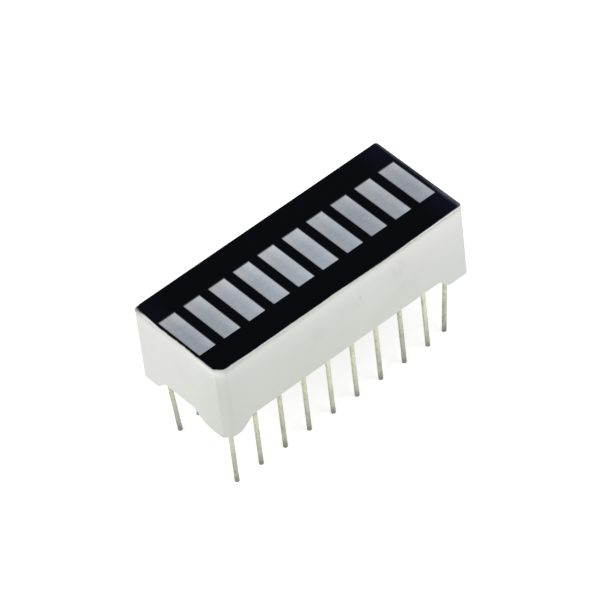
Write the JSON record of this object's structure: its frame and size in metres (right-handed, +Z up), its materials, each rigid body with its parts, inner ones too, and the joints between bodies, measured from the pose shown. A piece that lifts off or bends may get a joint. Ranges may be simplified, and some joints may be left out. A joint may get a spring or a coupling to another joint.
{
  "type": "led bar graph",
  "caption": "Low rectangular display body with a row of bar segments in its black face and two rows of wire pins below; lights its segments as a level scale.",
  "frame": {"origin": "on the plane of the pin tips, under the middle of the body", "axes": "+X along the row of segments, away from the end with the cut corner; +Y across the body, from the row of pin 1 to the other row; +Z up, out of the display face"},
  "size_m": [0.0254, 0.0102, 0.0143],
  "materials": {
    "housing": "satin moulded white",
    "print": "smooth black ink",
    "resin": "milky cast epoxy",
    "board": "glass-epoxy laminate with copper tracks",
    "silver_epoxy": "cured silver-filled epoxy",
    "chip": "polished semiconductor crystal",
    "gold_wire": "bright gold wire",
    "tinned_wire": "tinned steel wire"
  },
  "bodies": {
    "root": {"reflector_housing": "housing", "face_mask": "print", "resin_fill": "resin", "circuit_board": "board", "die_attach": "silver_epoxy", "led_chip_01": "chip", "led_chip_02": "chip", "led_chip_03": "chip", "led_chip_04": "chip", "led_chip_05": "chip", "led_chip_06": "chip", "led_chip_07": "chip", "led_chip_08": "chip", "led_chip_09": "chip", "led_chip_10": "chip", "bond_wire_01": "gold_wire", "bond_wire_02": "gold_wire", "bond_wire_03": "gold_wire", "bond_wire_04": "gold_wire", "bond_wire_05": "gold_wire", "bond_wire_06": "gold_wire", "bond_wire_07": "gold_wire", "bond_wire_08": "gold_wire", "bond_wire_09": "gold_wire", "bond_wire_10": "gold_wire", "pin_01": "tinned_wire", "pin_02": "tinned_wire", "pin_03": "tinned_wire", "pin_04": "tinned_wire", "pin_05": "tinned_wire", "pin_06": "tinned_wire", "pin_07": "tinned_wire", "pin_08": "tinned_wire", "pin_09": "tinned_wire", "pin_10": "tinned_wire", "pin_11": "tinned_wire", "pin_12": "tinned_wire", "pin_13": "tinned_wire", "pin_14": "tinned_wire", "pin_15": "tinned_wire", "pin_16": "tinned_wire", "pin_17": "tinned_wire", "pin_18": "tinned_wire", "pin_19": "tinned_wire", "pin_20": "tinned_wire"}
  },
  "joints": []
}
